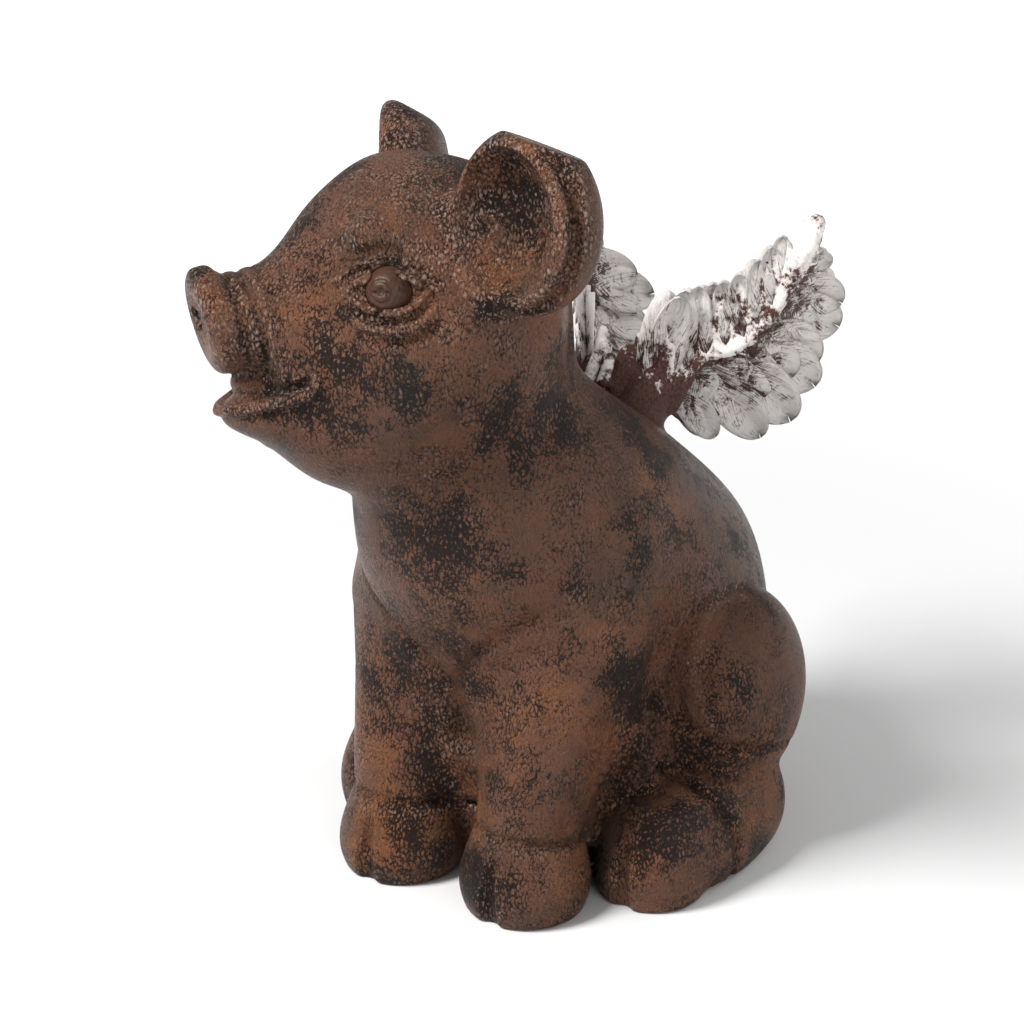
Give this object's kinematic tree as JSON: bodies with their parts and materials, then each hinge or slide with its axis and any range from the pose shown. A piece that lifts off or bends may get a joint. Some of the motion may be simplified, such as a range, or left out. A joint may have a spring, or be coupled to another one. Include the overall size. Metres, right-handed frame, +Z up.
{
  "type": "pig figurine",
  "caption": "Seated piglet garden figurine with upright ears and a pair of small feathered wings, cast in rust-brown resin with a flat base.",
  "frame": {"origin": "on the ground under the body, midway between the left and right feet and level with the hind hooves", "axes": "+Z up, -Y out of the chest, +X to the piglet's own left"},
  "size_m": [0.1715, 0.2538, 0.2826],
  "materials": {
    "cast_resin": "hand-brushed rust brown with dark patina, soft satin sheen",
    "eye_resin": "polished dark brown",
    "whitewashed_resin": "whitewash rubbed thin over brown",
    "steel": "plain drawn pin",
    "rubber": "moulded black"
  },
  "bodies": {
    "root": {"body": "cast_resin", "left_ear": "cast_resin", "right_ear": "cast_resin", "left_eye": "eye_resin", "right_eye": "eye_resin", "left_wing": "whitewashed_resin", "right_wing": "whitewashed_resin", "left_wing_upper_dowel": "steel", "left_wing_lower_dowel": "steel", "right_wing_upper_dowel": "steel", "right_wing_lower_dowel": "steel", "base_plug": "rubber"}
  },
  "joints": []
}
